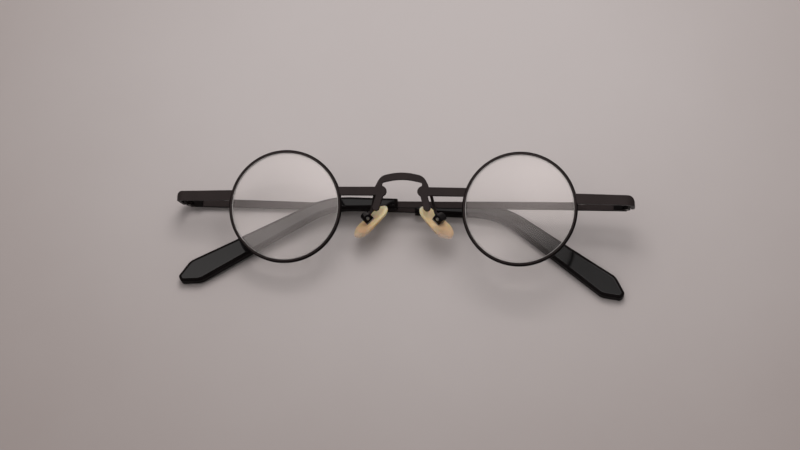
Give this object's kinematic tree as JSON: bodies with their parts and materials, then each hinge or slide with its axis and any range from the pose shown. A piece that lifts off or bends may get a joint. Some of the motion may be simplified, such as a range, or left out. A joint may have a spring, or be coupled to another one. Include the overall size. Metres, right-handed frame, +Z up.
{
  "type": "folding eyeglasses",
  "caption": "Round wire eyeglasses with a keyhole bridge, nose pads and folding temples with spade tips, folded and lying front up.",
  "frame": {"origin": "middle of the folded glasses' outline, on the table", "axes": "+X to the wearer's left along the front, +Y up the front to the brow, +Z up from the table, out of the front"},
  "size_m": [0.137, 0.0388, 0.0223],
  "materials": {
    "frame": "satin black",
    "screw": "plain steel",
    "lens": "clear, coated",
    "tip": "polished black",
    "pad": "cream, translucent"
  },
  "bodies": {
    "front": {"rim_right": "frame", "rim_left": "frame", "lens_right": "lens", "lens_left": "lens", "bridge": "frame", "endpiece_right": "frame", "endpiece_left": "frame", "closing_block_upper_right": "frame", "closing_block_upper_left": "frame", "closing_block_lower_right": "frame", "closing_block_lower_left": "frame", "rim_screw_right": "screw", "rim_screw_left": "screw", "hinge_front_right": "frame", "hinge_front_left": "frame", "hinge_screw_right": "screw", "hinge_screw_left": "screw", "pad_arm_right": "frame", "pad_arm_left": "frame", "pad_box_right": "frame", "pad_box_left": "frame", "pad_screw_right": "screw", "pad_screw_left": "screw"},
    "temple_right": {"temple_right": "frame", "temple_tip_right": "tip", "hinge_temple_right": "frame"},
    "temple_left": {"temple_left": "frame", "temple_tip_left": "tip", "hinge_temple_left": "frame"},
    "nose_pad_right": {"nose_pad_right": "pad", "pad_insert_right": "screw"},
    "nose_pad_left": {"nose_pad_left": "pad", "pad_insert_left": "screw"}
  },
  "joints": [
    {"name": "temple_right_hinge", "type": "hinge", "parent": "front", "child": "temple_right", "pos_m": [-0.06582, 0.00745, 0.00309], "axis": [0, 0.9925, 0.1219], "range_deg": [0, 90]},
    {"name": "temple_left_hinge", "type": "hinge", "parent": "front", "child": "temple_left", "pos_m": [0.06626, 0.00633, 0.01226], "axis": [0, -0.9925, -0.1219], "range_deg": [0, 94]},
    {"name": "nose_pad_right_pivot", "type": "hinge", "parent": "front", "child": "nose_pad_right", "pos_m": [-0.01106, 0.00139, 0.00923], "axis": [0.3735, -0.6211, 0.689], "range_deg": [-8, 8]},
    {"name": "nose_pad_left_pivot", "type": "hinge", "parent": "front", "child": "nose_pad_left", "pos_m": [0.01108, 0.0012, 0.01076], "axis": [-0.4755, -0.6139, 0.6301], "range_deg": [-8, 8]}
  ]
}
